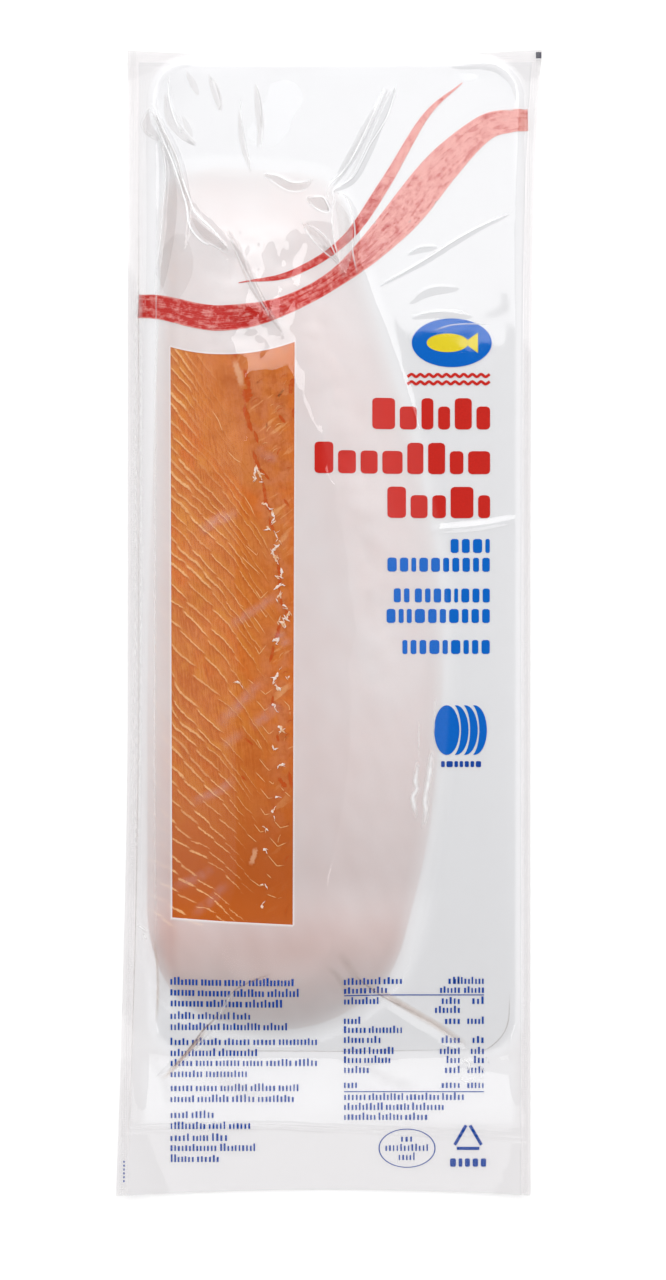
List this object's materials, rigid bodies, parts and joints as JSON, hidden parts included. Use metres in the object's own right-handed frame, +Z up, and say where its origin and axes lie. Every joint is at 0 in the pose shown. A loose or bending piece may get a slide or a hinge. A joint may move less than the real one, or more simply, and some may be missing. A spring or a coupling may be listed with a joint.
{
  "type": "smoked salmon pack",
  "caption": "Long flat vacuum pack of smoked salmon: a clear printed film bag, sealed all round, holds a whole side of fish on a stiff white board, with a window that shows the flesh.",
  "frame": {"origin": "on the surface that the pack lies on, below the middle of its outline", "axes": "+Z up through the printed side, +Y along the pack towards the fish's tail end, +X towards the pack's right edge as it is read"},
  "size_m": [0.2555, 0.6864, 0.0232],
  "materials": {
    "film": "clear glossy vacuum film, dotted and slightly milky at the seals",
    "white_print": "thin translucent white ink on the inside of the film",
    "red_print": "red printing ink under gloss film",
    "blue_print": "blue printing ink under gloss film",
    "yellow_print": "yellow printing ink under gloss film",
    "salmon": "moist smoked flesh with cream fat lines",
    "board": "smooth white coated board"
  },
  "bodies": {
    "root": {"pouch": "film"}
  },
  "joints": []
}
